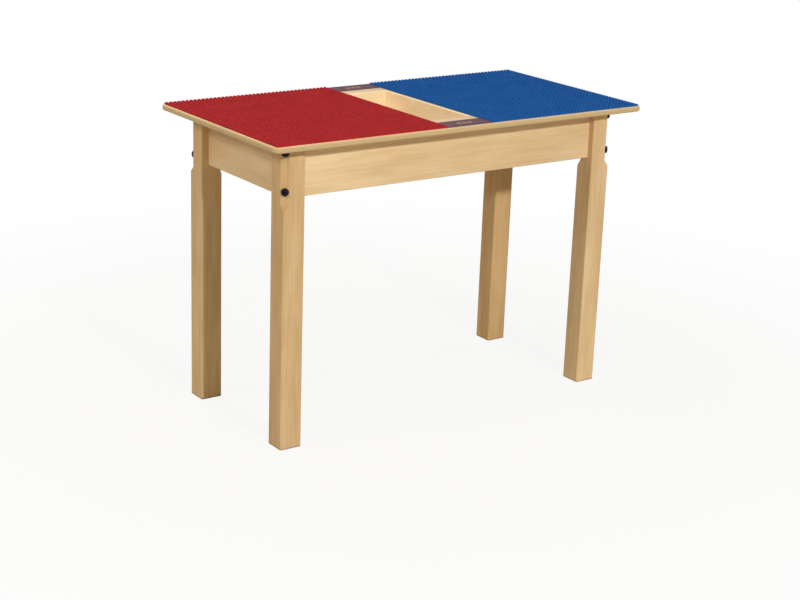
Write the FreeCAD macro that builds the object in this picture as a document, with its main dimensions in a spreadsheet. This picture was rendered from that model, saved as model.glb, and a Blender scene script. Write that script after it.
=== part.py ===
# Building-brick play table: plywood top with two studded plates and a storage trough between
# them, four aprons, and four legs that are drawn into the corners by diagonal bolts.
# Millimetres. +Z is up, +X runs along the length, -Y is the front.
# The origin is on the floor under the middle of the table.
import FreeCAD, Part
import Sketcher
import math
import os

# Each size: its name, its value and what it measures.
SIZES = [
    ("table_height", 535, "floor to the wooden surface of the top"),
    ("top_thickness", 10, "plywood panel"),
    ("top_edge_radius", 3.5, "rounding of the panel's upper and lower edge"),
    ("top_corner_radius", 14, "rounding of the panel's corners in plan"),
    ("top_overhang", 39, "panel past the outer faces of the legs"),
    ("wood_border", 5, "bare wood around the plates"),
    ("stud_pitch", 8, "stud to stud"),
    ("stud_diameter", 4.9, "one stud"),
    ("stud_height", 1.7, "stud above its plate"),
    ("stud_step_count", 3, "stud pitches from one solid stud to the next"),
    ("plate_column_count", 42, "studs along a plate"),
    ("plate_row_count", 48, "studs across a plate"),
    ("gap_column_count", 12, "stud pitches between the two plates"),
    ("plate_thickness", 1.6, "plate without its studs"),
    ("plate_corner_radius", 3, "rounding of a plate's corners in plan"),
    ("strip_depth", 40, "coloured strip, front to back"),
    ("strip_thickness", 0.8, "coloured strip"),
    ("strip_clearance", 0.5, "strip to the plate beside it"),
    ("trough_border", 4, "bare wood between a plate and the trough"),
    ("trough_edge_bevel", 1.5, "eased upper edge of the cut-out"),
    ("trough_wall", 12, "side wall of the trough"),
    ("trough_floor", 9, "bottom of the trough"),
    ("trough_recess", 4, "bottom of the trough above the aprons' lower edges"),
    ("housing_depth", 5, "groove in an apron that holds a trough wall"),
    ("housing_clearance", 0.1, "trough wall to each side of its groove"),
    ("floor_clearance", 0.2, "trough bottom to the apron at each end"),
    ("leg_width", 41, "square leg"),
    ("leg_edge_radius", 3, "rounding of a leg's long edges"),
    ("outer_chamfer", 11, "outer corner of a leg, measured on each face"),
    ("outer_chamfer_drop", 8, "full outer chamfer below the aprons"),
    ("outer_chamfer_runout", 11, "outer chamfer's run-out"),
    ("inner_chamfer", 9, "inner corner of a leg, measured on each face"),
    ("inner_chamfer_drop", 9, "full inner chamfer below the aprons"),
    ("inner_chamfer_runout", 13, "inner chamfer's run-out"),
    ("apron_height", 89, "apron"),
    ("apron_thickness", 18, "apron"),
    ("apron_back_inset", 9.5, "apron's inner face in front of the leg's inner face"),
    ("apron_edge_radius", 2, "rounding of an apron's lower edges"),
    ("block_thickness", 30, "corner block along the bolts"),
    ("block_width", 66, "corner block across the corner"),
    ("block_rise", 2, "corner block above the aprons' lower edges"),
    ("bolt_diameter", 8, "bolt shank"),
    ("bolt_clearance", 0.5, "bolt hole over the bolt"),
    ("bolt_rise", 13.5, "lower bolts above the aprons' lower edges"),
    ("bolt_drop", 10.5, "upper bolts below the top"),
    ("bolt_head_diameter", 13.5, "button head"),
    ("bolt_head_height", 4.2, "button head"),
    ("bolt_crown_bevel", 2.6, "bevelled crown of the button head"),
    ("bolt_protrusion", 3, "bolt past its nut"),
    ("washer_width", 18, "square timber washer"),
    ("washer_thickness", 1.6, "square timber washer"),
    ("washer_clearance", 0.4, "washer hole over the bolt"),
    ("nut_across_flats", 13, "hexagon nut"),
    ("nut_height", 6.5, "hexagon nut"),
    ("nut_clearance", 0.1, "nut bore over the bolt"),
    ("joint_side_count", 12, "flat sides that stand for the round of a bolt and its holes"),
]

# What follows from the sizes. A square stud covers as much of its plate as a round one. An outer
# or inner seat is counted along the corner's diagonal, from the outer corner of the leg.
LAYOUT = [
    ("plate_length", "Sizes.plate_column_count * Sizes.stud_pitch"),
    ("plate_depth", "Sizes.plate_row_count * Sizes.stud_pitch"),
    ("plate_gap", "Sizes.gap_column_count * Sizes.stud_pitch"),
    ("plate_center", "(plate_gap + plate_length) / 2"),
    ("stud_reach_x", "(Sizes.plate_column_count - 1) * Sizes.stud_pitch / 2"),
    ("stud_reach_y", "(Sizes.plate_row_count - 1) * Sizes.stud_pitch / 2"),
    ("stud_side", "Sizes.stud_diameter * sqrt(pi) / 2"),
    ("field_pitch", "Sizes.stud_step_count * Sizes.stud_pitch"),
    ("field_inset", "(Sizes.stud_step_count - 1) * Sizes.stud_pitch / 2"),
    ("field_columns", "floor(Sizes.plate_column_count / Sizes.stud_step_count)"),
    ("field_rows", "floor(Sizes.plate_row_count / Sizes.stud_step_count)"),
    ("top_length", "2 * plate_length + plate_gap + 2 * Sizes.wood_border"),
    ("top_depth", "plate_depth + 2 * Sizes.wood_border"),
    ("top_underside", "Sizes.table_height - Sizes.top_thickness"),
    ("corner_x", "top_length / 2 - Sizes.top_overhang"),
    ("corner_y", "top_depth / 2 - Sizes.top_overhang"),
    ("apron_bottom", "top_underside - Sizes.apron_height"),
    ("apron_inner", "Sizes.leg_width - Sizes.apron_back_inset"),
    ("long_apron_length", "2 * (corner_x - Sizes.leg_width)"),
    ("short_apron_length", "2 * (corner_y - Sizes.leg_width)"),
    ("trough_width", "plate_gap - 2 * Sizes.trough_border"),
    ("trough_length", "2 * (corner_y - apron_inner)"),
    ("trough_floor_bottom", "apron_bottom + Sizes.trough_recess"),
    ("trough_floor_top", "trough_floor_bottom + Sizes.trough_floor"),
    ("trough_wall_height", "top_underside - trough_floor_top"),
    ("trough_wall_length", "trough_length + 2 * Sizes.housing_depth"),
    ("trough_wall_center", "(trough_width + Sizes.trough_wall) / 2"),
    ("outer_seat", "Sizes.outer_chamfer / sqrt(2)"),
    ("inner_seat", "(2 * Sizes.leg_width - Sizes.inner_chamfer) / sqrt(2)"),
    ("leg_diagonal", "Sizes.leg_width * sqrt(2)"),
    ("apron_corner", "apron_inner * sqrt(2)"),
    ("block_back", "inner_seat + Sizes.block_thickness"),
    ("block_bottom", "apron_bottom + Sizes.block_rise"),
    ("block_height", "top_underside - block_bottom"),
    ("outer_chamfer_end", "apron_bottom - Sizes.outer_chamfer_drop"),
    ("inner_chamfer_end", "apron_bottom - Sizes.inner_chamfer_drop"),
    ("bolt_low", "apron_bottom + Sizes.bolt_rise"),
    ("bolt_high", "top_underside - Sizes.bolt_drop"),
    ("bolt_hole", "Sizes.bolt_diameter + Sizes.bolt_clearance"),
    ("bolt_grip", "block_back - outer_seat"),
    ("bolt_length",
     "bolt_grip + Sizes.washer_thickness + Sizes.nut_height + Sizes.bolt_protrusion"),
    ("nut_seat", "block_back + Sizes.washer_thickness"),
]

# The four corners: name, side along X and side along Y.
CORNERS = [
    ("front_left", -1, -1),
    ("front_right", 1, -1),
    ("back_right", 1, 1),
    ("back_left", -1, 1),
]
SIDES = (-1, 1)
UP = FreeCAD.Vector(0, 0, 1)
ROOT_HALF = "sqrt(0.5)"
# Places closer together than this are the same place.
NEAR = 1e-6

doc = FreeCAD.newDocument("PlayTable")
nodes = []


def fill_sheet(name, rows):
    """A sheet with one named cell per row: the name, the value or formula, and a note."""
    sheet = doc.addObject("Spreadsheet::Sheet", name)
    for number, (alias, content, *note) in enumerate(rows, 1):
        sheet.set(f"A{number}", alias)
        sheet.set(f"B{number}", str(content))
        sheet.setAlias(f"B{number}", alias)
        sheet.set(f"C{number}", " ".join(note))
    return sheet


def new_body(label, is_node=True):
    body = doc.addObject("PartDesign::Body", label)
    body.Label = label
    if is_node:
        nodes.append(body)
    return body


def place(thing, x="0", y="0", z="0", turn=0):
    """Puts a body or link at a bound position, turned about the vertical."""
    thing.Placement = FreeCAD.Placement(FreeCAD.Vector(), FreeCAD.Rotation(UP, turn))
    for axis, formula in zip("xyz", (x, y, z)):
        thing.setExpression(f"Placement.Base.{axis}", formula)


def new_sketch(body, name, plane, offset="0"):
    """A sketch on one of the body's own origin planes, moved along that plane's normal."""
    sketch = body.newObject("Sketcher::SketchObject", f"{body.Name}_{name}")
    support = next(f for f in body.Origin.OriginFeatures if f.Role == plane)
    sketch.AttachmentSupport = [(support, "")]
    sketch.MapMode = "FlatFace"
    sketch.setExpression("AttachmentOffset.Base.z", offset)
    return sketch


def bind_point(sketch, geometry, point, formulas):
    """Ties one point of the sketch to two formulas, measured from the sketch's origin."""
    for axis, formula in zip("XY", formulas):
        value = float(sketch.evalExpression(formula))
        rule = Sketcher.Constraint(f"Distance{axis}", -1, 1, geometry, point, value)
        number = sketch.addConstraint(rule)
        name = f"{axis.lower()}_{geometry}_{point}"
        sketch.renameConstraint(number, name)
        sketch.setExpression(f"Constraints.{name}", formula)


def sketch_point(sketch, formulas):
    x, y = (float(sketch.evalExpression(f)) for f in formulas)
    return FreeCAD.Vector(x, y, 0)


def draw_polygon(sketch, corners):
    """A closed outline of straight lines through corners given as pairs of formulas."""
    first = sketch.GeometryCount
    points = [sketch_point(sketch, c) for c in corners]
    count = len(points)
    for i in range(count):
        sketch.addGeometry(Part.LineSegment(points[i], points[(i + 1) % count]))
    for i in range(count):
        following = first + (i + 1) % count
        sketch.addConstraint(Sketcher.Constraint("Coincident", first + i, 2, following, 1))
    for i, corner in enumerate(corners):
        bind_point(sketch, first + i, 1, corner)


def draw_rectangle(sketch, width, height, x="0", y="0"):
    """A rectangle of the given width and height about a middle point."""
    left, right = f"{x} - ({width}) / 2", f"{x} + ({width}) / 2"
    low, high = f"{y} - ({height}) / 2", f"{y} + ({height}) / 2"
    draw_polygon(sketch, [(left, low), (right, low), (right, high), (left, high)])


def draw_circle(sketch, diameter, x="0", y="0"):
    radius = float(sketch.evalExpression(diameter)) / 2
    center = sketch_point(sketch, (x, y))
    geometry = sketch.addGeometry(Part.Circle(center, UP, radius))
    number = sketch.addConstraint(Sketcher.Constraint("Diameter", geometry, 2 * radius))
    name = f"diameter_{geometry}"
    sketch.renameConstraint(number, name)
    sketch.setExpression(f"Constraints.{name}", diameter)
    bind_point(sketch, geometry, 3, (x, y))


def draw_ring(sketch, diameter, x="0", y="0"):
    """A regular outline with its corners on a circle, for a bolt or a hole round one."""
    turn, reach = "360 / Sizes.joint_side_count", f"({diameter}) / 2"
    draw_polygon(sketch, [
        (f"{x} + {reach} * cos({i} * {turn})", f"{y} + {reach} * sin({i} * {turn})")
        for i in range(int(sizes.joint_side_count))])


def draw_hexagon(sketch, across_flats):
    side = f"({across_flats}) / sqrt(3)"
    flat = f"({across_flats}) / 2"
    draw_polygon(sketch, [
        (side, "0"), (f"{side} / 2", flat), (f"-{side} / 2", flat),
        (f"-{side}", "0"), (f"-{side} / 2", f"-{flat}"), (f"{side} / 2", f"-{flat}"),
    ])


def add_pad(body, sketch, length, backwards=False):
    pad = body.newObject("PartDesign::Pad", f"{sketch.Name}_pad")
    pad.Profile = sketch
    pad.Reversed = backwards
    pad.setExpression("Length", length)
    doc.recompute()
    return pad


def add_pocket(body, sketch, length=None, backwards=False):
    """Cuts the sketch into the body, to a depth or, without one, right through both ways."""
    before = body.Shape.Volume
    pocket = body.newObject("PartDesign::Pocket", f"{sketch.Name}_pocket")
    pocket.Profile = sketch
    pocket.Reversed = backwards
    if length is None:
        pocket.Type = "ThroughAll"
        pocket.SideType = "Symmetric"
    else:
        pocket.setExpression("Length", length)
    doc.recompute()
    if not body.Shape.Volume < before:
        raise RuntimeError(f"{pocket.Name} cuts nothing")
    return pocket


def add_grid(body, feature, sketch, columns, rows, pitch):
    """Repeats a feature in columns and rows, along its sketch's two axes."""
    grid = body.newObject("PartDesign::LinearPattern", f"{sketch.Name}_grid")
    grid.Originals = [feature]
    grid.Direction = (sketch, ["H_Axis"])
    grid.Direction2 = (sketch, ["V_Axis"])
    grid.setExpression("Length", f"({columns} - 1) * {pitch}")
    grid.setExpression("Length2", f"({rows} - 1) * {pitch}")
    grid.setExpression("Occurrences", columns)
    grid.setExpression("Occurrences2", rows)
    body.Tip = grid
    doc.recompute()
    return grid


def add_edge_feature(body, kind, name, size_name, size, wanted):
    """A fillet or chamfer on the edges of the body's last feature that wanted() picks."""
    base = body.Tip
    picked = [f"Edge{i}" for i, e in enumerate(base.Shape.Edges, 1) if wanted(e)]
    feature = body.newObject(f"PartDesign::{kind}", f"{body.Name}_{name}")
    feature.Base = (base, picked)
    feature.setExpression(size_name, size)
    doc.recompute()
    return feature


def round_edges(body, name, radius, wanted):
    return add_edge_feature(body, "Fillet", name, "Radius", radius, wanted)


def bevel_edges(body, name, size, wanted):
    return add_edge_feature(body, "Chamfer", name, "Size", size, wanted)


def is_upright(edge):
    box = edge.BoundBox
    return box.XLength < NEAR and box.YLength < NEAR


def at_height(edge, z):
    box = edge.BoundBox
    return abs(box.ZMin - z) < NEAR and abs(box.ZMax - z) < NEAR


def at_distance(edge, x):
    box = edge.BoundBox
    return abs(box.XMin - x) < NEAR and abs(box.XMax - x) < NEAR


def corner_place(thing, corner, along, z):
    """Puts a thing on a corner's diagonal, at a distance from the leg's outer corner."""
    _, side_x, side_y = corner
    inwards = math.degrees(math.atan2(-side_y, -side_x))
    x = f"{side_x} * (Layout.corner_x - ({along}) * {ROOT_HALF})"
    y = f"{side_y} * (Layout.corner_y - ({along}) * {ROOT_HALF})"
    place(thing, x, y, z, inwards)


def new_group(label, pattern, places):
    """One node of several copies of a pattern piece. places holds functions that place a copy."""
    copies = []
    for number, put in enumerate(places, 1):
        copy = doc.addObject("App::Link", f"{label}_{number}")
        copy.LinkedObject = pattern
        put(copy)
        copies.append(copy)
    group = doc.addObject("Part::Compound", label)
    group.Label = label
    group.Links = copies
    nodes.append(group)
    return group


def make_table_top():
    body = new_body("table_top")
    place(body, z="Layout.top_underside")
    outline = new_sketch(body, "outline", "XY_Plane")
    draw_rectangle(outline, "Layout.top_length", "Layout.top_depth")
    add_pad(body, outline, "Sizes.top_thickness")
    round_edges(body, "corners", "Sizes.top_corner_radius", is_upright)
    thickness = sizes.top_thickness
    round_edges(body, "edge_round", "Sizes.top_edge_radius",
                lambda e: at_height(e, 0) or at_height(e, thickness))
    opening = new_sketch(body, "opening", "XY_Plane")
    draw_rectangle(opening, "Layout.trough_width", "Layout.trough_length")
    add_pocket(body, opening)
    half_width, half_length = layout.trough_width / 2, layout.trough_length / 2

    def is_opening_rim(edge):
        middle = edge.CenterOfMass
        inside = abs(middle.x) < half_width + NEAR and abs(middle.y) < half_length + NEAR
        return inside and at_height(edge, thickness)

    bevel_edges(body, "opening_rim", "Sizes.trough_edge_bevel", is_opening_rim)


def make_baseplate(label, side):
    """A building plate. Of its studs, the middle one of each square block is solid here, with
    few faces, and the two at the front corners are solid and round."""
    body = new_body(label)
    place(body, x=f"{side} * Layout.plate_center", z="Sizes.table_height")
    outline = new_sketch(body, "outline", "XY_Plane")
    draw_rectangle(outline, "Layout.plate_length", "Layout.plate_depth")
    add_pad(body, outline, "Sizes.plate_thickness")
    round_edges(body, "corners", "Sizes.plate_corner_radius", is_upright)
    round_studs = new_sketch(body, "round_studs", "XY_Plane", "Sizes.plate_thickness")
    for side_x in SIDES:
        draw_circle(round_studs, "Sizes.stud_diameter", f"{side_x} * Layout.stud_reach_x",
                    "-Layout.stud_reach_y")
    add_pad(body, round_studs, "Sizes.stud_height")
    field = new_sketch(body, "field", "XY_Plane", "Sizes.plate_thickness")
    draw_rectangle(field, "Layout.stud_side", "Layout.stud_side",
                   "Layout.field_inset - Layout.stud_reach_x",
                   "Layout.field_inset - Layout.stud_reach_y")
    stud = add_pad(body, field, "Sizes.stud_height")
    add_grid(body, stud, field, "Layout.field_columns", "Layout.field_rows", "Layout.field_pitch")


def make_trim_strip(label, side):
    body = new_body(label)
    place(body, y=f"{side} * (Layout.plate_depth - Sizes.strip_depth) / 2",
          z="Sizes.table_height")
    outline = new_sketch(body, "outline", "XY_Plane")
    draw_rectangle(outline, "Layout.plate_gap - 2 * Sizes.strip_clearance", "Sizes.strip_depth")
    add_pad(body, outline, "Sizes.strip_thickness")


def make_apron(label, length, x, y, turn, has_housings):
    """A board whose inner face lies on the body's XZ plane, with its outer face towards -Y."""
    body = new_body(label)
    place(body, x, y, "Layout.apron_bottom", turn)
    board = new_sketch(body, "board", "XZ_Plane")
    draw_rectangle(board, length, "Sizes.apron_height", y="Sizes.apron_height / 2")
    add_pad(body, board, "Sizes.apron_thickness")
    round_edges(body, "lower_edges", "Sizes.apron_edge_radius",
                lambda e: at_height(e, 0) and e.BoundBox.XLength > e.BoundBox.YLength)
    if has_housings:
        housings = new_sketch(body, "housings", "XZ_Plane")
        width = "Sizes.trough_wall + 2 * Sizes.housing_clearance"
        middle = "Sizes.apron_height - Layout.trough_wall_height / 2"
        for side in SIDES:
            draw_rectangle(housings, width, "Layout.trough_wall_height",
                           f"{side} * Layout.trough_wall_center", middle)
        add_pocket(body, housings, "Sizes.housing_depth", backwards=True)


def make_aprons():
    inner_x = "(Layout.corner_x - Layout.apron_inner)"
    inner_y = "(Layout.corner_y - Layout.apron_inner)"
    long, short = "Layout.long_apron_length", "Layout.short_apron_length"
    make_apron("front_apron", long, "0", f"-{inner_y}", 0, True)
    make_apron("right_apron", short, inner_x, "0", 90, False)
    make_apron("back_apron", long, "0", inner_y, 180, True)
    make_apron("left_apron", short, f"-{inner_x}", "0", 270, False)


def make_leg(corner):
    """A leg in its corner's frame: +X runs inwards on the diagonal from the outer corner."""
    body = new_body(f"{corner[0]}_leg")
    corner_place(body, corner, "0", "0")
    section = new_sketch(body, "section", "XY_Plane")
    half = "Layout.leg_diagonal / 2"
    draw_polygon(section, [("0", "0"), (half, f"-{half}"), ("Layout.leg_diagonal", "0"),
                           (half, half)])
    add_pad(body, section, "Layout.top_underside")
    round_edges(body, "long_edges", "Sizes.leg_edge_radius", is_upright)
    outer = new_sketch(body, "outer_chamfer", "XZ_Plane")
    outer_start = "Layout.outer_chamfer_end - Sizes.outer_chamfer_runout"
    draw_polygon(outer, [("0", outer_start), ("Layout.outer_seat", "Layout.outer_chamfer_end"),
                         ("Layout.outer_seat", "Layout.top_underside"),
                         ("0", "Layout.top_underside")])
    add_pocket(body, outer)
    inner = new_sketch(body, "inner_chamfer", "XZ_Plane")
    inner_start = "Layout.inner_chamfer_end - Sizes.inner_chamfer_runout"
    draw_polygon(inner, [("Layout.leg_diagonal", inner_start),
                         ("Layout.leg_diagonal", "Layout.top_underside"),
                         ("Layout.inner_seat", "Layout.top_underside"),
                         ("Layout.inner_seat", "Layout.inner_chamfer_end")])
    add_pocket(body, inner)
    holes = new_sketch(body, "bolt_holes", "YZ_Plane")
    for level in ("Layout.bolt_low", "Layout.bolt_high"):
        draw_ring(holes, "Layout.bolt_hole", "0", level)
    add_pocket(body, holes)


def make_corner_block(corner):
    """The block between two aprons behind a leg, in the same corner frame as the leg."""
    body = new_body(f"{corner[0]}_corner_block")
    corner_place(body, corner, "0", "Layout.block_bottom")
    plan = new_sketch(body, "plan", "XY_Plane")
    narrow = "(Layout.inner_seat - Layout.apron_corner)"
    wide = "Sizes.block_width / 2"
    shoulder = f"Layout.apron_corner + {wide}"
    draw_polygon(plan, [
        ("Layout.inner_seat", f"-{narrow}"), (shoulder, f"-{wide}"),
        ("Layout.block_back", f"-{wide}"), ("Layout.block_back", wide),
        (shoulder, wide), ("Layout.inner_seat", narrow),
    ])
    add_pad(body, plan, "Layout.block_height")
    bolt_holes = new_sketch(body, "bolt_holes", "YZ_Plane")
    for level in ("Layout.bolt_low", "Layout.bolt_high"):
        draw_ring(bolt_holes, "Layout.bolt_hole", "0", f"{level} - Layout.block_bottom")
    add_pocket(body, bolt_holes)


def make_bolt():
    """A button-head bolt along +X, with the underside of its head at the origin."""
    body = new_body("bolt", is_node=False)
    shank = new_sketch(body, "shank", "YZ_Plane")
    draw_ring(shank, "Sizes.bolt_diameter")
    add_pad(body, shank, "Layout.bolt_length")
    head = new_sketch(body, "head", "YZ_Plane")
    draw_ring(head, "Sizes.bolt_head_diameter")
    add_pad(body, head, "Sizes.bolt_head_height", backwards=True)
    crown = -sizes.bolt_head_height
    bevel_edges(body, "crown", "Sizes.bolt_crown_bevel", lambda e: at_distance(e, crown))
    return body


def make_washer():
    """A square washer whose face lies on the YZ plane, reaching towards +X."""
    body = new_body("washer", is_node=False)
    ring = new_sketch(body, "ring", "YZ_Plane")
    draw_rectangle(ring, "Sizes.washer_width", "Sizes.washer_width")
    draw_ring(ring, "Sizes.bolt_diameter + Sizes.washer_clearance")
    add_pad(body, ring, "Sizes.washer_thickness")
    return body


def make_nut():
    """A hexagon nut whose face lies on the YZ plane, reaching towards +X."""
    body = new_body("nut", is_node=False)
    ring = new_sketch(body, "ring", "YZ_Plane")
    draw_hexagon(ring, "Sizes.nut_across_flats")
    draw_ring(ring, "Sizes.bolt_diameter + Sizes.nut_clearance")
    add_pad(body, ring, "Sizes.nut_height")
    return body


def make_trough_wall(label, side):
    body = new_body(label)
    place(body, x=f"{side} * Layout.trough_wall_center", z="Layout.trough_floor_top")
    plan = new_sketch(body, "plan", "XY_Plane")
    draw_rectangle(plan, "Sizes.trough_wall", "Layout.trough_wall_length")
    add_pad(body, plan, "Layout.trough_wall_height")


def make_trough_bottom():
    body = new_body("trough_bottom")
    place(body, z="Layout.trough_floor_bottom")
    plan = new_sketch(body, "plan", "XY_Plane")
    draw_rectangle(plan, "Layout.trough_width + 2 * Sizes.trough_wall",
                   "Layout.trough_length - 2 * Sizes.floor_clearance")
    add_pad(body, plan, "Sizes.trough_floor")


def make_fasteners():
    """Bolts, washers and nuts, each kind as one node of separate solids."""
    spots = [(corner, level) for corner in CORNERS
             for level in ("Layout.bolt_low", "Layout.bolt_high")]
    for label, pattern, along in (("leg_bolts", make_bolt(), "Layout.outer_seat"),
                                  ("leg_washers", make_washer(), "Layout.block_back"),
                                  ("leg_nuts", make_nut(), "Layout.nut_seat")):
        new_group(label, pattern, [
            lambda copy, corner=corner, along=along, level=level:
                corner_place(copy, corner, along, level)
            for corner, level in spots])


def check_document():
    """Stops unless every object recomputed and every node is a valid, solid shape."""
    for thing in doc.Objects:
        if {"Invalid", "Error"} & set(thing.State):
            raise RuntimeError(f"{thing.Name} failed: {thing.State}")
    for node in nodes:
        if node.Shape.isNull() or not node.Shape.isValid() or not node.Shape.Solids:
            raise RuntimeError(f"{node.Label} has no valid solid")


sizes = fill_sheet("Sizes", SIZES)
layout = fill_sheet("Layout", [(name, f"={formula}") for name, formula in LAYOUT])
doc.recompute()

make_table_top()
make_baseplate("red_baseplate", -1)
make_baseplate("blue_baseplate", 1)
make_trim_strip("front_trim_strip", -1)
make_trim_strip("back_trim_strip", 1)
make_aprons()
for corner in CORNERS:
    make_leg(corner)
    make_corner_block(corner)
make_trough_wall("trough_left_wall", -1)
make_trough_wall("trough_right_wall", 1)
make_trough_bottom()
make_fasteners()

doc.recompute()
check_document()
os.makedirs("parts", exist_ok=True)
for node in nodes:
    node.Shape.exportStep(f"parts/{node.Label}.step")
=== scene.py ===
# Looks of a building-brick play table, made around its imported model.
# Metres. +Z is up, +X runs along the length towards the blue plate, -Y is the front.
import math
from collections import namedtuple

import bmesh
import bpy
from mathutils import Matrix, Vector


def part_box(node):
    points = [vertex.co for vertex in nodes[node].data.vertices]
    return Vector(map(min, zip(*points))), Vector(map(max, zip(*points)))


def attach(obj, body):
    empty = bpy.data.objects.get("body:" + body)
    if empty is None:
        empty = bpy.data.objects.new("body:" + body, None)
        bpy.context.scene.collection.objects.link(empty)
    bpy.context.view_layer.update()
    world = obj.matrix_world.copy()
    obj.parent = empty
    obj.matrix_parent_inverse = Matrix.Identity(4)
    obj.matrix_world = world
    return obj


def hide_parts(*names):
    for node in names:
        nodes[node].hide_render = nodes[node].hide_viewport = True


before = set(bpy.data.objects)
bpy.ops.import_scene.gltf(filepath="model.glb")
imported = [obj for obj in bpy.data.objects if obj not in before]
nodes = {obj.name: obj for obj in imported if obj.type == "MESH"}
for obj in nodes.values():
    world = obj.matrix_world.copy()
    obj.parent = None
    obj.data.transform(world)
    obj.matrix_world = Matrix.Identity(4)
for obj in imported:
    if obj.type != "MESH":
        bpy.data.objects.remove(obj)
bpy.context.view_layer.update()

UP = Vector((0, 0, 1))
CORNERS = {"front_left": (-1, -1), "front_right": (1, -1), "back_right": (1, 1), "back_left": (-1, 1)}
# Places closer together than this are the same place.
NEAR = 1e-5


def grey(shade):
    return (shade, shade, shade)


# Surfaces: fixed shader inputs, roughness from and to, and the depth of the fine relief
Surface = namedtuple("Surface", "inputs roughness relief", defaults=(None, None))
WOOD = Surface({"IOR": 1.46, "Specular IOR Level": 0.15}, (0.42, 0.56), 0.00008)
PLASTIC = Surface({"IOR": 1.5, "Specular IOR Level": 0.006}, (0.5, 0.65), 0.00003)
LAMINATE = Surface({"IOR": 1.45, "Specular IOR Level": 0.02}, (0.5, 0.65), 0.00002)
BLACK_STEEL = Surface({"IOR": 1.5, "Specular IOR Level": 0.12}, (0.3, 0.48), 0.00003)
ZINC = Surface({"Metallic": 1.0}, (0.28, 0.42), 0.00002)
PALE_FLOOR = Surface({"Base Color": (0.60, 0.54, 0.45, 1.0), "Roughness": 0.9,
                      "Specular IOR Level": 0.0})

# Noise patterns: a factor for each axis, the scale per metre and the detail. A factor under 1 draws
# a pattern out along that axis. The first axis of the first five runs with a wood's grain.
PATTERNS = {
    "patches": ((0.22, 1.0, 1.0), 26.0, 2.0),
    "streaks": ((0.05, 1.0, 1.0), 210.0, 3.0),
    "sway": ((0.05, 1.0, 1.0), 16.0, 2.0),
    "flecks": ((0.12, 1.0, 1.0), 520.0, 1.0),
    "fibres": ((0.025, 1.0, 1.0), 1300.0, 2.0),
    "plies": ((0.35, 0.35, 1.0), 900.0, 3.0),
    "clouds": ((1.0, 1.0, 1.0), 22.0, 3.0),
    "marks": ((1.0, 0.25, 1.0), 900.0, 3.0),
    "tint": ((1.0, 1.0, 1.0), 60.0, 3.0),
    "weave": ((1.0, 1.0, 1.0), 1500.0, 2.0),
    "wear": ((1.0, 1.0, 1.0), 450.0, 4.0),
    "spangle": ((1.0, 1.0, 1.0), 700.0, 3.0),
}
# Most of a noise pattern lies between these values.
NOISE_RANGE = (0.3, 0.7)

# Woods in linear colours: a pale, a middle and a warm tone
WOODS = {
    "apron": ((0.785, 0.590, 0.352), (0.738, 0.540, 0.308), (0.673, 0.470, 0.250)),
    "pale_leg": ((0.765, 0.550, 0.311), (0.710, 0.500, 0.268), (0.640, 0.430, 0.213)),
    "leg": ((0.710, 0.502, 0.268), (0.652, 0.447, 0.224), (0.578, 0.378, 0.177)),
    "dark_leg": ((0.655, 0.437, 0.210), (0.600, 0.390, 0.177), (0.530, 0.325, 0.140)),
    "block": ((0.680, 0.480, 0.260), (0.620, 0.420, 0.215), (0.540, 0.345, 0.160)),
    "veneer": ((0.780, 0.585, 0.352), (0.735, 0.535, 0.308), (0.670, 0.465, 0.250)),
    # The trough's pale veneer, partly painted light: paler than the other woods, to brighten the shaded
    # trough.
    "lining_and_painted_light": ((0.945, 0.785, 0.535), (0.925, 0.750, 0.490), (0.880, 0.690, 0.425)),
}
TONE_STOPS = (0.36, 0.5, 0.63)
PATCH_SHARE = 0.6
RING_WIDTH = 0.0068
VENEER_RING_WIDTH = 0.012
RING_SWAY = 0.018
RING_DRIFT = 0.02
RING_SHADES = [(0.0, grey(0.0)), (0.6, grey(0.1)), (0.9, grey(1.0)), (1.0, grey(0.0))]
RING_SHARE = 0.16
FLECK_RANGE = (0.66, 0.76)
FLECK_SHARE = 0.45
FIBRE_RANGE = (0.35, 0.65)
FIBRE_SHADES = (0.965, 1.015)
GRAIN_ORDERS = {"X": "XYZ", "Y": "YXZ", "Z": "ZXY"}

# Boards: wood, axis of the grain, and a place in the heart of the tree that each was cut from
BOARDS = {
    "front_apron": ("apron", "X", (0.0, 0.0, 0.38)),
    "back_apron": ("apron", "X", (0.1, 0.31, 0.40)),
    "left_apron": ("apron", "Y", (0.2, 0.0, 0.36)),
    "right_apron": ("apron", "Y", (0.3, 0.0, 0.39)),
    "front_left_leg": ("leg", "Z", (-0.26, -0.1, 0.0)),
    "front_right_leg": ("pale_leg", "Z", (0.27, -0.1, 0.1)),
    "back_right_leg": ("dark_leg", "Z", (0.28, 0.1, 0.2)),
    "back_left_leg": ("leg", "Z", (-0.23, 0.1, 0.3)),
}
BLOCK_HEART = (0.2, 0.05, 0.0)
TOP_HEART = (0.0, 0.02, 0.3)
TROUGH_HEART = (0.1, 0.0, 0.3)
# Painted light: some boards are painted paler towards one end, where more light falls on them. Along the
# grain, that is full at the first place and gone at the second.
PAINTED_LIGHT_FADES = {
    "front_apron": (-0.31, 0.0),
    "back_apron": (-0.31, 0.0),
    "front_right_leg": (0.05, 0.33),
    "back_right_leg": (0.1, 0.33),
    "back_left_leg": (0.1, 0.33),
}
PAINTED_LIGHT_TINT = (1.15, 1.19, 1.22)
# End grain comes in between these shares of a face's normal along the axis of the grain.
END_TURN = (0.15, 0.5)
END_SHARE = 0.5
END_WOOD = (0.50, 0.285, 0.10)
# Painted shade: the lowest few millimetres of a leg are painted dark, as the shade where it stands on the
# floor.
FOOT_PAINTED_SHADE = (0.22, 0.125, 0.055)
FOOT_SHADE_HEIGHT = 0.003
FOOT_SHADE_SHARE = 0.7
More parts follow.
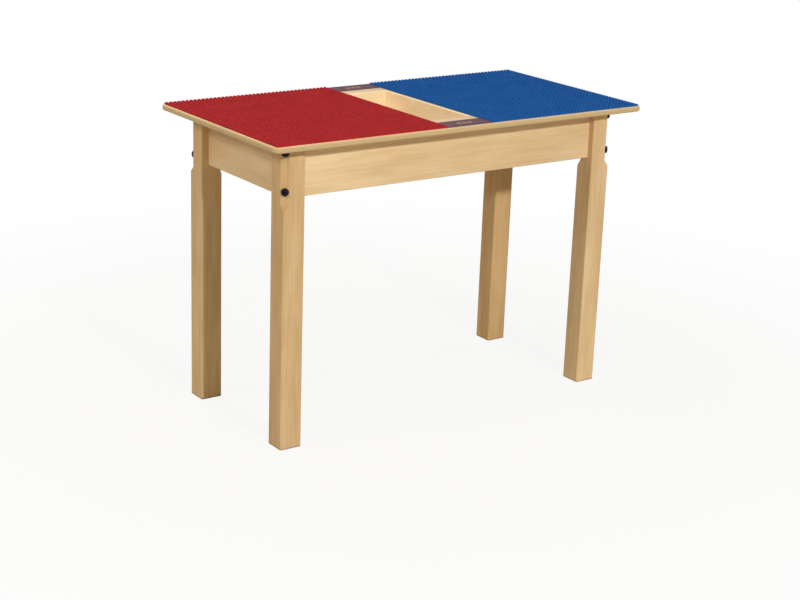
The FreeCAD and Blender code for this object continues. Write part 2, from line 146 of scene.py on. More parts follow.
# Pale veneer lines the trough, and bands the edge of the top's opening with its bevel.
# Its colour is partly the veneer's own and partly painted light: paler than the wood would show in the
# shaded trough, and a painted highlight along the opening's rim.
APRONS_WITH_LINING_AND_PAINTED_LIGHT = ("front_apron", "back_apron")
LINING_AND_PAINTED_LIGHT_DEPTH = 0.0005
BANDING_AND_HIGHLIGHT_DEPTH = 0.002

# Plywood. Its plies go out between these upright shares of a face's normal.
EDGE_TURN = (0.8, 0.95)
PLY_COUNT = 7
PLY_PALE = (0.64, 0.475, 0.250)
PLY_DARK = (0.525, 0.370, 0.182)
PLY_MOTTLE = 0.5
PLY_CROSS_SHARE = 0.55
PLY_GLUE = (0.31, 0.205, 0.094)
GLUE_SHADES = [(0.0, grey(1.0)), (0.1, grey(0.0)), (0.9, grey(0.0)), (1.0, grey(1.0))]
GLUE_SHARE = 0.5

# Printed strips, in linear colours
STRIP_TONES = [(0.35, (0.124, 0.069, 0.090)), (0.65, (0.148, 0.083, 0.108))]
STRIP_DOT = (0.44, 0.32, 0.13)
DOT_INK = 0.85
DOT_PITCH = 0.0115
DOT_RADIUS = 0.0048
DOT_BLUR = 0.0002
DOTS_EACH_SIDE = 1

# Steel, in linear colours
BLACK_STEEL_TONES = [(0.4, (0.006, 0.005, 0.0045)), (0.75, (0.017, 0.014, 0.012))]
ZINC_TONES = [(0.35, (0.50, 0.50, 0.49)), (0.65, (0.66, 0.66, 0.63))]

# Building plates, with a deep and a bright tone
PLATE_COLOURS = {
    "red": ((0.390, 0.0255, 0.0285), (0.425, 0.0295, 0.0330)),
    "blue": ((0.0150, 0.099, 0.323), (0.0185, 0.111, 0.350)),
}
MARK_RANGE = (0.62, 0.8)
MARK_SHARE = 0.25
STUD_PITCH = 0.008
STUD_RADIUS = 0.00245
STUD_HEIGHT = 0.0017
STUD_BEVEL = 0.0003
STUD_SEGMENTS = 16
STUD_SHARP_ANGLE = 35
PLATE_CORNER_RADIUS = 0.003
PLATE_CORNER_STEPS = 6
# A stud's first point faces the first corner of its square: this share of a turn from +X.
STUD_FIRST_TURN = -0.375
# A stud's rings from its foot up: radius, height, and radius in the bake map
STUD_RINGS = [(STUD_RADIUS, 0.0, 0.0034), (STUD_RADIUS, STUD_HEIGHT - STUD_BEVEL, 0.0025),
              (STUD_RADIUS - STUD_BEVEL, STUD_HEIGHT, 0.0020)]
# The bake map: the sheet's sides spread out around it, and its underside small in a corner
MAP_SKIRT = 1.02
MAP_SHARE = 0.88
MAP_MIDDLE = (0.5, 0.45)
MAP_UNDERSIDE = 0.09

# Fasteners
TURN_SEGMENTS = 36
DOME_STEPS = 7
HEAD_SHARP_ANGLE = 40
BOLT_CROWN_RADIUS = 0.0034
BOLT_RIM_HEIGHT = 0.0009
BOLT_SOCKET = 0.005
BOLT_SOCKET_DEPTH = 0.0026
THREAD_PITCH = 0.00125
THREAD_DEPTH = 0.0006
THREAD_TURNS = 8
NUT_FACE_SHARE = 0.96
NUT_BEVEL_SLOPE = math.tan(math.radians(30))
NUT_SHARP_ANGLE = 30
SCREW_HEAD_RADIUS = 0.004
SCREW_HEAD_HEIGHT = 0.0022
SCREW_CROWN_RADIUS = 0.0024
SCREW_RIM_HEIGHT = 0.00066
SCREW_SOCKET = 0.0029
SCREW_SOCKET_DEPTH = 0.0016
SCREW_ROWS = 3
SCREW_SPACING = 0.09

# Camera, as it stood for the photograph
CAMERA_PLACE = Vector((-1.74756, -2.44025, 1.13578))
CAMERA_AZIMUTH = math.radians(35.628)
CAMERA_ELEVATION = math.radians(17.857)
CAMERA_ROLL = math.radians(2.042)
CAMERA_LENS = 76.70
CAMERA_SENSOR = 36.0

# Studio: lamps as place, size, power and colour, an even world and a pale floor
WHITE = (1.0, 1.0, 1.0)
WARM_WHITE = (1.0, 0.95, 0.86)
LAMP_TARGET = Vector((0, 0, 0.4))
LAMPS = {
    "key": ((-0.36, -3.9, 2.28), 0.24, 111, WHITE),
    "side": ((-2.6, 0.3, 2.05), 0.8, 30, WARM_WHITE),
    "overhead": ((-0.5, -0.5, 3.0), 1.2, 20, WHITE),
    "back": ((0.2, 3.4, 1.15), 1.2, 32, WHITE),
    "right": ((3.3, 0.9, 1.15), 1.2, 16, WHITE),
}
WORLD_LIGHT = 0.2
WORLD_COLOUR = (1.0, 0.92, 0.8)
FLOOR_SIZE = 60.0
FLOOR_GLOW = 0.9
FLOOR_NEAR = 0.6
FLOOR_FAR = 1.5


class Shader:
    """A node material with a Principled surface, and short calls that add nodes to it."""

    def __init__(self, name, surface):
        self.material = bpy.data.materials.new(name)
        self.material.use_nodes = True
        self.nodes = self.material.node_tree.nodes
        self.links = self.material.node_tree.links
        self.principled = self.nodes["Principled BSDF"]
        self.surface = surface
        self.feed(self.principled, surface.inputs)

    def feed(self, node, inputs):
        """Sets a node's inputs, each from a plain value or from another node's output."""
        for socket, value in inputs.items():
            if isinstance(value, bpy.types.NodeSocket):
                self.links.new(value, node.inputs[socket])
            else:
                node.inputs[socket].default_value = value

    def add(self, kind, inputs, **settings):
        node = self.nodes.new(f"ShaderNode{kind}")
        for name, value in settings.items():
            setattr(node, name, value)
        self.feed(node, inputs)
        return node

    def place(self):
        """Where a point lies in the table's own frame, in metres."""
        return self.add("TexCoord", {}).outputs["Object"]

    def math(self, operation, a, b=0.0):
        return self.add("Math", {0: a, 1: b}, operation=operation).outputs[0]

    def vector(self, operation, a, b):
        return self.add("VectorMath", {0: a, 1: b}, operation=operation).outputs["Vector"]

    def length(self, a):
        return self.add("VectorMath", {0: a}, operation="LENGTH").outputs["Value"]

    def axes(self, where):
        return self.add("SeparateXYZ", {0: where}).outputs

    def pattern(self, name, where):
        factors, scale, detail = PATTERNS[name]
        drawn = self.vector("MULTIPLY", where, factors)
        return self.add("TexNoise", {"Vector": drawn, "Scale": scale, "Detail": detail}).outputs["Fac"]

    def spread(self, value, low, high, to_low, to_high):
        """Maps low..high to to_low..to_high, held at both ends."""
        inputs = {0: value, 1: low, 2: high, 3: to_low, 4: to_high}
        return self.add("MapRange", inputs).outputs[0]

    def ramp(self, value, stops):
        """Colours by value. Stops are pairs of a place from 0 to 1 and a colour."""
        node = self.add("ValToRGB", {0: value})
        points = node.color_ramp.elements
        while len(points) < len(stops):
            points.new(0.5)
        for point, (place, colour) in zip(points, stops):
            point.position = place
            point.color = (*colour, 1.0)
        return node.outputs[0]

    def mix(self, share, first, second, blend="MIX"):
        node = self.add("Mix", {0: share}, data_type="RGBA", blend_type=blend)
        for socket, value in ((6, first), (7, second)):
            colour = value if isinstance(value, bpy.types.NodeSocket) else (*value, 1.0)
            self.feed(node, {socket: colour})
        return node.outputs[2]

    def finish(self, colour, grain):
        """Ends the material with its colour. Its roughness and its relief follow the fine grain."""
        roughness = self.spread(grain, *NOISE_RANGE, *self.surface.roughness)
        relief = self.add("Bump", {"Strength": 1.0, "Distance": self.surface.relief, "Height": grain})
        inputs = {"Base Color": colour, "Roughness": roughness, "Normal": relief.outputs[0]}
        self.feed(self.principled, inputs)
        return self.material


def grain_place(shader, axis, heart):
    """A place in a board: the first axis runs with the grain, the others across it from the heart."""
    parts = shader.axes(shader.vector("SUBTRACT", shader.place(), heart))
    order = GRAIN_ORDERS[axis]
    return shader.add("CombineXYZ", {i: parts[name] for i, name in enumerate(order)}).outputs[0]


def wood_colour(shader, where, wood, ring_width):
    """A wood's colour and its fine fibres, from broad patches, streaks, growth rings and flecks."""
    pale, middle, warm = WOODS[wood]
    broad = shader.math("MULTIPLY", shader.pattern("patches", where), PATCH_SHARE)
    fine = shader.math("MULTIPLY", shader.pattern("streaks", where), 1 - PATCH_SHARE)
    colour = shader.ramp(shader.math("ADD", broad, fine), list(zip(TONE_STOPS, (warm, middle, pale))))
    sway = shader.math("MULTIPLY", shader.pattern("sway", where), RING_SWAY)
    reach = shader.length(shader.vector("MULTIPLY", where, (RING_DRIFT, 1.0, 1.0)))
    ring = shader.math("FRACT", shader.math("DIVIDE", shader.math("ADD", reach, sway), ring_width))
    late_wood = shader.math("MULTIPLY", shader.ramp(ring, RING_SHADES), RING_SHARE)
    colour = shader.mix(late_wood, colour, warm)
    flecks = shader.spread(shader.pattern("flecks", where), *FLECK_RANGE, 0.0, FLECK_SHARE)
    colour = shader.mix(flecks, colour, warm)
    fibres = shader.pattern("fibres", where)
    shade = shader.spread(fibres, *FIBRE_RANGE, *FIBRE_SHADES)
    shading = shader.add("CombineColor", {0: shade, 1: shade, 2: shade}).outputs[0]
    return shader.mix(1.0, colour, shading, "MULTIPLY"), fibres


def steepness(shader, axis):
    """How far a face turns towards an axis, from 0 to 1."""
    facing = shader.axes(shader.add("NewGeometry", {}).outputs["True Normal"])[axis]
    return shader.math("ABSOLUTE", facing)


def inside(shader, trough):
    """1 in the trough, else 0. The trough is given by half its width, half its length and its floor."""
    half_width, half_length, floor = trough
    parts = shader.axes(shader.place())
    in_width = shader.math("LESS_THAN", shader.math("ABSOLUTE", parts["X"]), half_width)
    in_length = shader.math("LESS_THAN", shader.math("ABSOLUTE", parts["Y"]), half_length)
    is_above = shader.math("GREATER_THAN", parts["Z"], floor)
    return shader.math("MULTIPLY", shader.math("MULTIPLY", in_width, in_length), is_above)


def board_material(name, wood, axis, heart, ring_width=RING_WIDTH, painted_light_fade=None, lining_and_painted_light=None):
    """Sanded and lacquered wood, warmer where a cut runs across the fibres, with painted light that makes
    it paler towards one end, with pale veneer and painted light where it lines the trough, and with painted
    shade at the foot of a leg."""
    shader = Shader(name, WOOD)
    grain = grain_place(shader, axis, heart)
    colour, fibres = wood_colour(shader, grain, wood, ring_width)
    # Painted light: the board is paler towards one end.
    if painted_light_fade:
        along = shader.axes(shader.place())[axis]
        colour = shader.mix(shader.spread(along, *painted_light_fade, 1.0, 0.0), colour, PAINTED_LIGHT_TINT, "MULTIPLY")
    # Pale veneer and painted light inside the trough.
    if lining_and_painted_light:
        veneer, _ = wood_colour(shader, grain, "lining_and_painted_light", ring_width)
        colour = shader.mix(inside(shader, lining_and_painted_light), colour, veneer)
    is_end = shader.spread(steepness(shader, axis), *END_TURN, 0.0, END_SHARE)
    colour = shader.mix(is_end, colour, END_WOOD)
    # Painted shade: a leg is painted darker at its foot.
    if axis == "Z":
        height = shader.axes(shader.place())["Z"]
        colour = shader.mix(shader.spread(height, 0.0, FOOT_SHADE_HEIGHT, FOOT_SHADE_SHARE, 0.0), colour, FOOT_PAINTED_SHADE)
    return shader.finish(colour, fibres)


def ply_colour(shader, low, high):
    """The plies on an edge between two heights, each second one darker, with glue at their joints."""
    where = shader.place()
    layer = shader.spread(shader.axes(where)["Z"], low, high, 0.0, PLY_COUNT)
    mottle = shader.spread(shader.pattern("plies", where), *NOISE_RANGE, 0.0, PLY_MOTTLE)
    colour = shader.mix(mottle, PLY_PALE, PLY_DARK)
    is_cross = shader.math("MODULO", shader.math("FLOOR", layer), 2.0)
    colour = shader.mix(shader.math("MULTIPLY", is_cross, PLY_CROSS_SHARE), colour, PLY_DARK)
    joint = shader.ramp(shader.math("FRACT", layer), GLUE_SHADES)
    return shader.mix(shader.math("MULTIPLY", joint, GLUE_SHARE), colour, PLY_GLUE)


def plywood_material(name, axis, heart, edge_low, edge_high, banding_and_highlight):
    """Veneered plywood, with its plies on the edges between two heights, but banded round the trough in
    pale veneer, partly a painted highlight along the opening's rim.
    """
    shader = Shader(name, WOOD)
    grain = grain_place(shader, axis, heart)
    colour, fibres = wood_colour(shader, grain, "veneer", VENEER_RING_WIDTH)
    is_edge = shader.spread(steepness(shader, "Z"), *EDGE_TURN, 1.0, 0.0)
    colour = shader.mix(is_edge, colour, ply_colour(shader, edge_low, edge_high))
    # Pale veneer and a painted highlight along the trough's rim.
    band_and_highlight, _ = wood_colour(shader, grain, "lining_and_painted_light", VENEER_RING_WIDTH)
    return shader.finish(shader.mix(inside(shader, banding_and_highlight), colour, band_and_highlight), fibres)


def plastic_material(name, deep, bright):
    """Moulded plastic: nearly even colour, with faint flow clouds and fine handling marks."""
    shader = Shader(name, PLASTIC)
    where = shader.place()
    colour = shader.ramp(shader.pattern("clouds", where), list(zip(NOISE_RANGE, (deep, bright))))
    marks = shader.pattern("marks", where)
    colour = shader.mix(shader.spread(marks, *MARK_RANGE, 0.0, MARK_SHARE), colour, bright)
    return shader.finish(colour, marks)


def strip_material(name, middle):
    """Matte laminate with a few plain dots in the middle of each strip, at +middle and -middle in Y."""
    shader = Shader(name, LAMINATE)
    where = shader.place()
    parts = shader.axes(where)
    ground = shader.ramp(shader.pattern("tint", where), STRIP_TONES)
    steps = shader.math("ROUND", shader.math("DIVIDE", parts["X"], DOT_PITCH))
    last = DOTS_EACH_SIDE * DOT_PITCH
    nearest = shader.spread(steps, -DOTS_EACH_SIDE, DOTS_EACH_SIDE, -last, last)
    along = shader.math("SUBTRACT", parts["X"], nearest)
    across = shader.math("SUBTRACT", shader.math("ABSOLUTE", parts["Y"]), middle)
    reach = shader.length(shader.add("CombineXYZ", {0: along, 1: across}).outputs[0])
    is_dot = shader.spread(reach, DOT_RADIUS - DOT_BLUR, DOT_RADIUS + DOT_BLUR, DOT_INK, 0.0)
    return shader.finish(shader.mix(is_dot, ground, STRIP_DOT), shader.pattern("weave", where))


def black_steel_material(name):
    """Black-oxide steel, a little worn."""
    shader = Shader(name, BLACK_STEEL)
    wear = shader.pattern("wear", shader.place())
    return shader.finish(shader.ramp(wear, BLACK_STEEL_TONES), wear)


def zinc_material(name):
    """Bright zinc plate with a faint spangle."""
    shader = Shader(name, ZINC)
    spangle = shader.pattern("spangle", shader.place())
    return shader.finish(shader.ramp(spangle, ZINC_TONES), spangle)


def dress(material, *names):
    for name in names:
        nodes[name].data.materials.clear()
        nodes[name].data.materials.append(material)


def dress_wood():
    half_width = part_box("trough_right_wall")[0].x
    half_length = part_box("back_apron")[0].y
    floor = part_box("trough_bottom")[1].z
    # Boxes for the trough's pale veneer with painted light, and a wider one for the rim's painted
    # highlight.
    lining_and_painted_light = (half_width + LINING_AND_PAINTED_LIGHT_DEPTH, half_length + LINING_AND_PAINTED_LIGHT_DEPTH, floor)
    banding_and_highlight = (half_width + BANDING_AND_HIGHLIGHT_DEPTH, half_length + BANDING_AND_HIGHLIGHT_DEPTH, floor)
    for name, (wood, axis, heart) in BOARDS.items():
        veneer = lining_and_painted_light if name in APRONS_WITH_LINING_AND_PAINTED_LIGHT else None
        dress(board_material(f"{name}_maple", wood, axis, heart, painted_light_fade=PAINTED_LIGHT_FADES.get(name), lining_and_painted_light=veneer), name)
    x, y, z = BLOCK_HEART
    for corner, (sign_x, sign_y) in CORNERS.items():
        dress(board_material(f"{corner}_block_wood", "block", "Z", (sign_x * x, sign_y * y, z)),
              f"{corner}_corner_block")
    top_low, top_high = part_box("table_top")
    dress(plywood_material("top_plywood", "X", TOP_HEART, top_low.z, top_high.z, banding_and_highlight), "table_top")
    # The trough's walls and bottom: pale veneer, partly painted light.
    dress(board_material("trough_lining_and_painted_light", "lining_and_painted_light", "Y", TROUGH_HEART, VENEER_RING_WIDTH),
          "trough_left_wall", "trough_right_wall", "trough_bottom")


def dress_strips():
    low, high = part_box("back_trim_strip")
    dress(strip_material("strip_laminate", (low.y + high.y) / 2), "front_trim_strip", "back_trim_strip")


def new_piece(name, mesh, material, slot, *replaced):
    """A piece of the table that stands for CAD nodes or is added to them."""
    piece = bpy.data.objects.new(name, mesh)
    bpy.context.scene.collection.objects.link(piece)
    mesh.materials.append(material)
    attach(piece, "root")
    if replaced:
        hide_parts(*replaced)


def smooth(mesh, sharp_angle):
    mesh.shade_smooth()
    mesh.set_sharp_from_angle(angle=math.radians(sharp_angle))


class PlateMesh:
    """A studded building plate as one closed mesh, with a bake map laid out from above."""

    def __init__(self, node):
        low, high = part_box(node)
        self.low, self.size, self.middle = low, high - low, (low + high) / 2
        self.columns = round(self.size.x / STUD_PITCH)
        self.rows = round(self.size.y / STUD_PITCH)
        self.sheet_top = high.z - STUD_HEIGHT
        self.points, self.map_points, self.faces = [], [], []
        self.between = {}
        self.grid = [[self.add_point(low.x + i * STUD_PITCH, low.y + j * STUD_PITCH, self.sheet_top)
                      for j in range(self.rows + 1)] for i in range(self.columns + 1)]
        self.round_corners()
        for i in range(self.columns):
            for j in range(self.rows):
                self.add_stud(i, j)
        self.add_sides()

    def add_point(self, x, y, z, map_x=None, map_y=None):
        self.points.append((x, y, z))
        self.map_points.append((x if map_x is None else map_x, y if map_y is None else map_y))
        return len(self.points) - 1

    def run(self, a, b):
        """The points along the sheet's edge or grid from a up to, but without, b."""
        return [a] + self.between.get((a, b), [])

    def round_corners(self):
        radius = PLATE_CORNER_RADIUS
        for i, j in ((0, 0), (self.columns, 0), (self.columns, self.rows), (0, self.rows)):
            corner = self.grid[i][j]
            x, y, z = self.points[corner]
            in_x, in_y = (1 if i == 0 else -1), (1 if j == 0 else -1)
            arc = []
            for step in range(PLATE_CORNER_STEPS + 1):
                angle = math.pi / 2 * step / PLATE_CORNER_STEPS
                arc.append((x + in_x * radius * (1 - math.sin(angle)),
                            y + in_y * radius * (1 - math.cos(angle)), z))
            half = PLATE_CORNER_STEPS // 2
            self.points[corner] = arc[half]
            self.map_points[corner] = arc[half][:2]
            along_x = [self.add_point(*p) for p in reversed(arc[:half])]
            along_y = [self.add_point(*p) for p in arc[half + 1:]]
            edges = ((self.grid[i + in_x][j], along_x), (self.grid[i][j + in_y], along_y))
            for neighbour, points in edges:
                self.between[corner, neighbour] = points
                self.between[neighbour, corner] = points[::-1]

    def add_stud(self, i, j):
        x = self.low.x + (i + 0.5) * STUD_PITCH
        y = self.low.y + (j + 0.5) * STUD_PITCH
        rings = []
        for radius, height, map_radius in STUD_RINGS:
            ring = []
            for step in range(STUD_SEGMENTS):
                angle = math.tau * (step / STUD_SEGMENTS + STUD_FIRST_TURN)
                c, s = math.cos(angle), math.sin(angle)
                ring.append(self.add_point(x + radius * c, y + radius * s, self.sheet_top + height,
                                           x + map_radius * c, y + map_radius * s))
            rings.append(ring)
        corners = [self.grid[i][j], self.grid[i + 1][j], self.grid[i + 1][j + 1], self.grid[i][j + 1]]
        quarter = STUD_SEGMENTS // 4
        for k in range(4):
            a, b = corners[k], corners[(k + 1) % 4]
            arc = [rings[0][(k * quarter + step) % STUD_SEGMENTS] for step in range(quarter, -1, -1)]
            self.faces.append(self.run(a, b) + [b] + arc)
        for lower, upper in zip(rings, rings[1:]):
            for step in range(STUD_SEGMENTS):
                after = (step + 1) % STUD_SEGMENTS
                self.faces.append([lower[step], lower[after], upper[after], upper[step]])
        self.faces.append(rings[-1])

    def add_sides(self):
        """The sheet's sides and, as the last face, its underside."""
        last_x, last_y = self.columns, self.rows
        loop = [self.grid[i][0] for i in range(last_x)] + [self.grid[last_x][j] for j in range(last_y)]
        loop += [self.grid[i][last_y] for i in range(last_x, 0, -1)]
        loop += [self.grid[0][j] for j in range(last_y, 0, -1)]
        rim = [p for a, b in zip(loop, loop[1:] + loop[:1]) for p in self.run(a, b)]
        middle = self.middle
        foot = []
        for p in rim:
            x, y, _ = self.points[p]
            foot.append(self.add_point(x, y, self.low.z, middle.x + (x - middle.x) * MAP_SKIRT,
                                       middle.y + (y - middle.y) * MAP_SKIRT))
        for k in range(len(rim)):
            after = (k + 1) % len(rim)
            self.faces.append([rim[k], foot[k], foot[after], rim[after]])
        self.faces.append(foot[::-1])

    def mesh(self, name):
        mesh = bpy.data.meshes.new(name)
        mesh.from_pydata(self.points, [], self.faces)
        scale = MAP_SHARE / (max(self.size.x, self.size.y) * MAP_SKIRT)
        middle_u, middle_v = MAP_MIDDLE
        layer = mesh.uv_layers.new(name="OFBake")
        for loop in mesh.loops:
            x, y = self.map_points[loop.vertex_index]
            layer.data[loop.index].uv = ((x - self.middle.x) * scale + middle_u,
                                         (y - self.middle.y) * scale + middle_v)
        underside = mesh.polygons[len(self.faces) - 1]
        for loop in underside.loop_indices:
            u, v = layer.data[loop].uv
            layer.data[loop].uv = (u * MAP_UNDERSIDE, 1 - v * MAP_UNDERSIDE)
        smooth(mesh, STUD_SHARP_ANGLE)
        return mesh


def make_plates():
    for colour, (deep, bright) in PLATE_COLOURS.items():
        name, slot, node = f"{colour}_studded_plate", f"{colour}_plastic", f"{colour}_baseplate"
        new_piece(name, PlateMesh(node).mesh(name), plastic_material(slot, deep, bright), slot, node)


def each_fastener(node):
    """Each of a leg fastener node's eight solids: the way out of its corner, and its points."""
    low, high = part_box(node)
    middle = (low.z + high.z) / 2
    points = [v.co.copy() for v in nodes[node].data.vertices]
    for sign_x, sign_y in CORNERS.values():
        for is_upper in (False, True):
            yield Vector((sign_x, sign_y, 0)).normalized(), [
                p for p in points
                if p.x * sign_x > 0 and p.y * sign_y > 0 and (p.z > middle) == is_upper]


def fastener_axis(outward, points):
    """A frame whose Z runs outwards along the fastener's axis, with X up, and the points in it."""
    side = outward.cross(UP)
    turn = Matrix((UP, side, outward)).transposed().to_4x4()
    local = [turn.inverted() @ p for p in points]
    middle = [(min(p[i] for p in local) + max(p[i] for p in local)) / 2 for i in (0, 1)]
    frame_matrix = turn @ Matrix.Translation((*middle, 0))
    return frame_matrix, [frame_matrix.inverted() @ p for p in points]


def flat_sided(sides, across):
    """The radius of a regular polygon at an angle, with the middle of a side at angle 0."""
    step = math.tau / sides

    def radius(angle):
        return across / 2 / math.cos((angle + step / 2) % step - step / 2)

    return radius


def turn_rings(shape, rings, matrix, is_tube=False):
    """Joins rings round the Z axis. A ring's radius and height are numbers or follow the angle."""
    angles = [math.tau * i / TURN_SEGMENTS for i in range(TURN_SEGMENTS)]
    loops = []
    for radius, height in rings:
        loop = []
        for angle in angles:
            r = radius(angle) if callable(radius) else radius
            z = height(angle) if callable(height) else height
            loop.append(shape.verts.new(matrix @ Vector((r * math.cos(angle), r * math.sin(angle), z))))
        loops.append(loop)
    following = loops[1:] + loops[:1] if is_tube else loops[1:]
    for first, second in zip(loops, following):
        for i in range(TURN_SEGMENTS):
            after = (i + 1) % TURN_SEGMENTS
            shape.faces.new((first[i], first[after], second[after], second[i]))
    if not is_tube:
        shape.faces.new(loops[0][::-1])
        shape.faces.new(loops[-1])


def finish_shape(shape, name, sharp_angle):
    bmesh.ops.recalc_face_normals(shape, faces=shape.faces)
    mesh = bpy.data.meshes.new(name)
    shape.to_mesh(mesh)
    shape.free()
    smooth(mesh, sharp_angle)
    return mesh


def dome_rings(radius, crown_radius, rim_height, height):
    """Rings of a rounded head, from its flat crown down to its rim."""
    for step in range(DOME_STEPS + 1):
        angle = math.pi / 2 * step / DOME_STEPS
        yield (crown_radius + (radius - crown_radius) * math.sin(angle),
               rim_height + (height - rim_height) * math.cos(angle))


def bolt_rings(radius, shank, crown, tip):
    """Rings of a bolt from the bottom of its socket, over its head and along its shank to its tip."""
    socket = flat_sided(6, BOLT_SOCKET)
    rings = [(socket, crown - BOLT_SOCKET_DEPTH), (socket, crown)]
    rings += dome_rings(radius, BOLT_CROWN_RADIUS, BOLT_RIM_HEIGHT, crown)
    rings += [(radius, 0.0), (shank, 0.0)]
    start = tip + THREAD_TURNS * THREAD_PITCH
    for turn in range(THREAD_TURNS):
        top = start - turn * THREAD_PITCH
        rings += [(shank, top), (shank - THREAD_DEPTH, top - THREAD_PITCH / 2)]
    return rings + [(shank - THREAD_DEPTH, tip)]


def make_bolts():
    """Button-head bolts with a hexagon socket, and a thread where they come out of their nuts."""
    shape = bmesh.new()
    for outward, points in each_fastener("leg_bolts"):
        matrix, local = fastener_axis(outward, points)
        reach = [math.hypot(p.x, p.y) for p in local]
        radius = max(reach)
        seat = min(p.z for p, r in zip(local, reach) if r > radius - NEAR)
        crown, tip = max(p.z for p in local) - seat, min(p.z for p in local) - seat
        shank = max(r for p, r in zip(local, reach) if abs(p.z - seat - tip) < NEAR)
        rings = bolt_rings(radius, shank, crown, tip)
        turn_rings(shape, rings, matrix @ Matrix.Translation((0, 0, seat)))
    new_piece("button_head_bolts", finish_shape(shape, "button_head_bolts", HEAD_SHARP_ANGLE),
              black_steel_material("black_steel"), "black_steel", "leg_bolts")


def nut_rings(bore, flats, low, high):
    """Rings of a nut from one end of its bore round its outside to the other, with bevelled corners."""
    side = flat_sided(6, flats)
    face = flats / 2 * NUT_FACE_SHARE

    def bevel(angle):
        return (side(angle) - face) * NUT_BEVEL_SLOPE

    return [(bore, low), (face, low), (side, lambda angle: low + bevel(angle)),
            (side, lambda angle: high - bevel(angle)), (face, high), (bore, high)]


def make_nuts():
    shape = bmesh.new()
    for outward, points in each_fastener("leg_nuts"):
        matrix, local = fastener_axis(outward, points)
        bore = min(math.hypot(p.x, p.y) for p in local)
        flats = max(p.x for p in local) - min(p.x for p in local)
        low, high = min(p.z for p in local), max(p.z for p in local)
        turn_rings(shape, nut_rings(bore, flats, low, high), matrix, is_tube=True)
    new_piece("hexagon_nuts", finish_shape(shape, "hexagon_nuts", NUT_SHARP_ANGLE),
              zinc_material("nut_zinc"), "zinc_steel", "leg_nuts")


def make_trough_screws():
    """Square-drive pan-head screws that hold the trough's bottom to its walls from below."""
    socket = flat_sided(4, SCREW_SOCKET)
    rings = [(socket, SCREW_HEAD_HEIGHT - SCREW_SOCKET_DEPTH), (socket, SCREW_HEAD_HEIGHT)]
    rings += dome_rings(SCREW_HEAD_RADIUS, SCREW_CROWN_RADIUS, SCREW_RIM_HEIGHT, SCREW_HEAD_HEIGHT)
    rings += [(SCREW_HEAD_RADIUS, 0.0)]
    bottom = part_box("trough_bottom")[0].z
    shape = bmesh.new()
    for wall in ("trough_left_wall", "trough_right_wall"):
        low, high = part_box(wall)
        for row in range(SCREW_ROWS):
            y = (low.y + high.y) / 2 + (row - (SCREW_ROWS - 1) / 2) * SCREW_SPACING
            place = Matrix.Translation(((low.x + high.x) / 2, y, bottom))
            turn_rings(shape, rings, place @ Matrix.Rotation(math.pi, 4, "X"))
    new_piece("trough_screw_heads", finish_shape(shape, "trough_screw_heads", HEAD_SHARP_ANGLE),
              zinc_material("screw_zinc"), "zinc_steel")


def seen_rays(tree):
    """1 for the rays that show a background: to the camera, by reflection or through glass."""
    path = tree.nodes.new("ShaderNodeLightPath").outputs
    seen = path["Is Camera Ray"]
    for name in ("Is Glossy Ray", "Is Transmission Ray"):
        either = tree.nodes.new("ShaderNodeMath")
        either.operation = "MAXIMUM"
        tree.links.new(seen, either.inputs[0])
        tree.links.new(path[name], either.inputs[1])
        seen = either.outputs[0]
    return seen


def make_floor():
    """A pale floor that holds a faint shadow near the table and goes to plain white away from it."""
    bpy.ops.mesh.primitive_plane_add(size=FLOOR_SIZE)
    floor = bpy.context.object
    floor.name = "floor"
    shader = Shader("pale_floor", PALE_FLOOR)
    away = shader.spread(shader.length(shader.place()), FLOOR_NEAR, FLOOR_FAR, FLOOR_GLOW, 1.0)
    share = shader.math("MULTIPLY", seen_rays(shader.material.node_tree), away)
    glow = shader.add("Emission", {"Color": (*WHITE, 1.0), "Strength": 1.0})
    blend = shader.add("MixShader", {0: share, 1: shader.principled.outputs[0], 2: glow.outputs[0]})
    shader.feed(shader.nodes["Material Output"], {"Surface": blend.outputs[0]})
    floor.data.materials.append(shader.material)


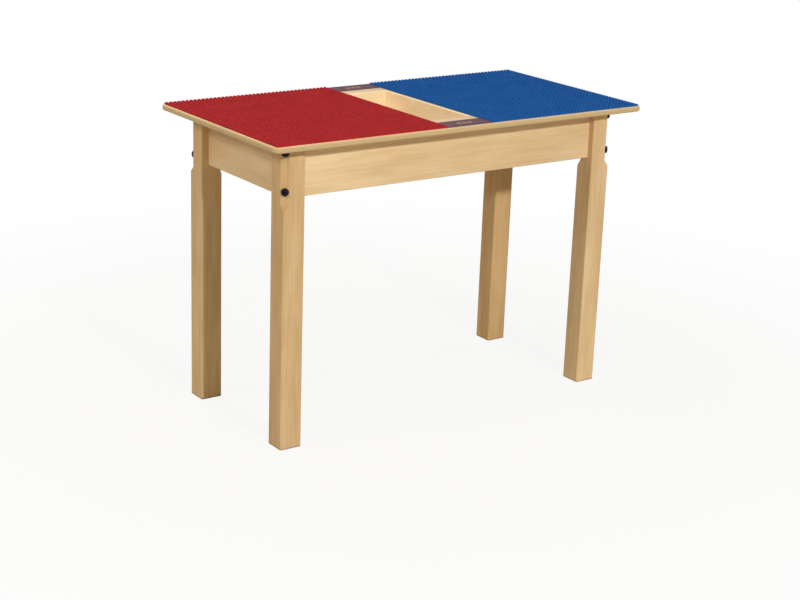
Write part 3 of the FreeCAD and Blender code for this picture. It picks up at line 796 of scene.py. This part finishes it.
def make_world():
    """An even, warm and weak light, which shows as plain white."""
    world = bpy.data.worlds.new("studio")
    bpy.context.scene.world = world
    world.use_nodes = True
    tree = world.node_tree
    light = tree.nodes["Background"]
    light.inputs["Color"].default_value = (*WORLD_COLOUR, 1.0)
    light.inputs["Strength"].default_value = WORLD_LIGHT
    white = tree.nodes.new("ShaderNodeBackground")
    white.inputs["Color"].default_value = (*WHITE, 1.0)
    blend = tree.nodes.new("ShaderNodeMixShader")
    tree.links.new(seen_rays(tree), blend.inputs[0])
    tree.links.new(light.outputs[0], blend.inputs[1])
    tree.links.new(white.outputs[0], blend.inputs[2])
    tree.links.new(blend.outputs[0], tree.nodes["World Output"].inputs["Surface"])


def make_lamp(name, place, size, power, colour):
    lamp = bpy.data.lights.new(name, "AREA")
    lamp.shape = "DISK"
    lamp.size = size
    lamp.energy = power
    lamp.color = colour
    thing = bpy.data.objects.new(name, lamp)
    bpy.context.scene.collection.objects.link(thing)
    thing.location = place
    thing.rotation_euler = (LAMP_TARGET - Vector(place)).to_track_quat("-Z", "Y").to_euler()


def make_camera():
    camera = bpy.data.cameras.new("camera")
    camera.lens = CAMERA_LENS
    camera.sensor_width = CAMERA_SENSOR
    thing = bpy.data.objects.new("camera", camera)
    bpy.context.scene.collection.objects.link(thing)
    level = math.cos(CAMERA_ELEVATION)
    ahead = Vector((math.sin(CAMERA_AZIMUTH) * level, math.cos(CAMERA_AZIMUTH) * level,
                    -math.sin(CAMERA_ELEVATION)))
    right = Vector((math.cos(CAMERA_AZIMUTH), -math.sin(CAMERA_AZIMUTH), 0))
    turn = Matrix((right, right.cross(ahead), -ahead)).transposed()
    roll = Matrix.Rotation(CAMERA_ROLL, 3, "Z")
    thing.matrix_world = Matrix.Translation(CAMERA_PLACE) @ (turn @ roll).to_4x4()
    bpy.context.scene.camera = thing


dress_wood()
dress_strips()
dress(zinc_material("washer_zinc"), "leg_washers")
make_plates()
make_bolts()
make_nuts()
make_trough_screws()

make_floor()
make_world()
for lamp_name, lamp_settings in LAMPS.items():
    make_lamp(lamp_name, *lamp_settings)
make_camera()
bpy.context.scene.view_settings.view_transform = "Standard"
